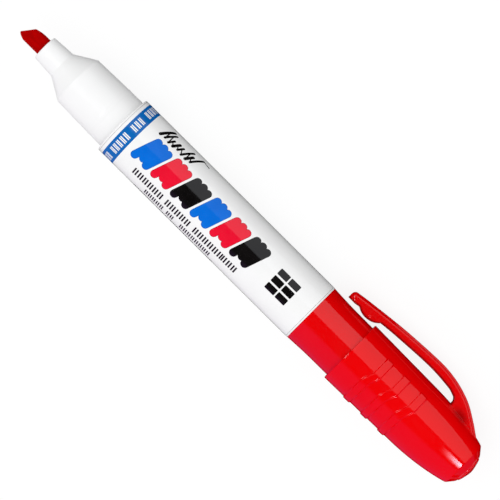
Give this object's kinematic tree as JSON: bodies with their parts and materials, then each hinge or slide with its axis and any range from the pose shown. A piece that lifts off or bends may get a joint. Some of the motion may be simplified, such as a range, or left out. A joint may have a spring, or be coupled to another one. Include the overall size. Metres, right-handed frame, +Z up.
{
  "type": "felt tip marker",
  "caption": "Round felt tip marker with a chisel nib, white barrel, red tail plug and a posted red push-on cap with wavy grip ribs and a pocket clip.",
  "frame": {"origin": "on the surface that the marker lies on, under the middle of its bounding box", "axes": "+X along the marker towards the nib, +Z up from the surface, the pocket clip towards -Y and down"},
  "size_m": [0.1474, 0.0208, 0.0174],
  "materials": {
    "nib_felt": "pressed fibre, wet with red ink",
    "nose_white": "satin moulded polypropylene",
    "barrel_white": "smooth extruded tube",
    "label_film": "printed gloss film",
    "reservoir_fibre": "ink-soaked fibre",
    "reservoir_film": "clear film",
    "tail_red": "gloss moulded polypropylene",
    "cap_red": "gloss moulded polypropylene",
    "seal_natural": "soft uncoloured polyethylene"
  },
  "bodies": {
    "marker": {"nib": "nib_felt", "nose_cone": "nose_white", "barrel": "barrel_white", "printed_label": "label_film", "ink_reservoir": "reservoir_fibre", "reservoir_film": "reservoir_film", "tail_plug": "tail_red"},
    "seal": {"cap_inner_seal": "seal_natural"},
    "cap": {"cap_shell": "cap_red", "cap_end_plug": "cap_red"},
    "clip": {"pocket_clip": "cap_red"}
  },
  "joints": [
    {"name": "cap_pull", "type": "slide", "parent": "marker", "child": "seal", "axis": [-1, 0, 0], "range_m": [0, 0.036]},
    {"name": "cap_turn", "type": "hinge", "parent": "seal", "child": "cap", "pos_m": [-0.0337, 0.00173, 0.00869], "axis": [1, 0, 0], "continuous": true},
    {"name": "clip_flex", "type": "hinge", "parent": "cap", "child": "clip", "pos_m": [-0.05755, -0.00769, 0.00282], "axis": [0, 0.5288, -0.8488], "range_deg": [0, 5], "stiffness_Nm_per_rad": 0.75}
  ]
}
